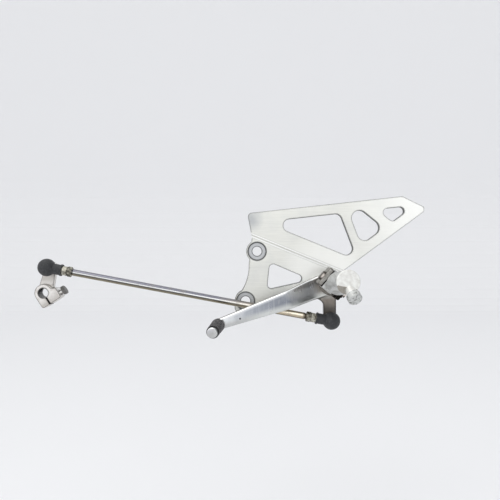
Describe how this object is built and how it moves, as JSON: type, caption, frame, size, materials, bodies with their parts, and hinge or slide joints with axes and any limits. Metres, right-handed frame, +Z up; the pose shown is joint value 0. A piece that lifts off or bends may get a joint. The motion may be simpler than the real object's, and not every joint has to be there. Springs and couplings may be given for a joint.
{
  "type": "motorcycle footpeg",
  "caption": "Folding motorcycle footpeg on a pierced step plate, with a bowed gear lever, a ball-jointed linkage rod and a slit clamp arm for the gearshift shaft.",
  "frame": {"origin": "midpoint between the two frame bolt holes, on the plate's mounting face", "axes": "+X toward the heel guard's tip, along the plate; +Y out of the mounting face, toward the frame; +Z up along the plate"},
  "size_m": [0.453, 0.1303, 0.1572],
  "materials": {
    "plate_aluminium": "satin",
    "lever_aluminium": "polished",
    "peg_aluminium": "cast",
    "holder_steel": "forged",
    "zinc_steel": "zinc plated",
    "rod_steel": "tarnished plate",
    "arm_steel": "cast satin",
    "dark_steel": "oiled",
    "boot_rubber": "matte",
    "toe_rubber": "matte",
    "bush_bronze": "plain"
  },
  "bodies": {
    "bracket": {"step_plate": "plate_aluminium", "peg_holder": "holder_steel", "holder_bolt": "zinc_steel", "holder_washer": "zinc_steel", "thrust_washer": "dark_steel", "peg_pin": "holder_steel", "pin_clip": "dark_steel", "peg_spring": "dark_steel"},
    "footpeg": {"footpeg": "peg_aluminium", "bank_sensor": "arm_steel"},
    "gear_lever": {"gear_lever": "lever_aluminium", "lever_bush": "bush_bronze", "inner_seal": "boot_rubber", "outer_seal": "boot_rubber", "toe_pin": "lever_aluminium", "toe_rubber": "toe_rubber", "rear_ball_stud": "zinc_steel", "rear_stud_nut": "zinc_steel"},
    "linkage": {"linkage_rod": "rod_steel", "rear_ball_socket": "zinc_steel", "rear_boot": "boot_rubber", "rear_lock_nut": "zinc_steel", "front_ball_socket": "zinc_steel", "front_boot": "boot_rubber", "front_lock_nut": "zinc_steel"},
    "shift_arm": {"shift_arm": "arm_steel", "front_ball_stud": "zinc_steel", "front_stud_nut": "zinc_steel", "pinch_bolt": "dark_steel"}
  },
  "joints": [
    {"name": "footpeg_fold", "type": "hinge", "parent": "bracket", "child": "footpeg", "pos_m": [0.0905, -0.049, -0.0075], "axis": [-0.7638, 0, 0.6455], "range_deg": [0, 80], "stiffness_Nm_per_rad": 0.3, "springref_deg": -60.16, "deforming": ["peg_spring"]},
    {"name": "lever_pivot", "type": "hinge", "parent": "bracket", "child": "gear_lever", "pos_m": [0.0905, -0.022, -0.0075], "axis": [0, -1, 0], "range_deg": [-12, 12]},
    {"name": "rod_swing", "type": "hinge", "parent": "gear_lever", "child": "linkage", "pos_m": [0.09094, -0.033, -0.0499], "axis": [0, -1, 0], "range_deg": [-12, 45]},
    {"name": "arm_swing", "type": "hinge", "parent": "linkage", "child": "shift_arm", "pos_m": [-0.2326, -0.033, 0.0109], "axis": [0, -1, 0], "range_deg": [-60, 60]}
  ]
}
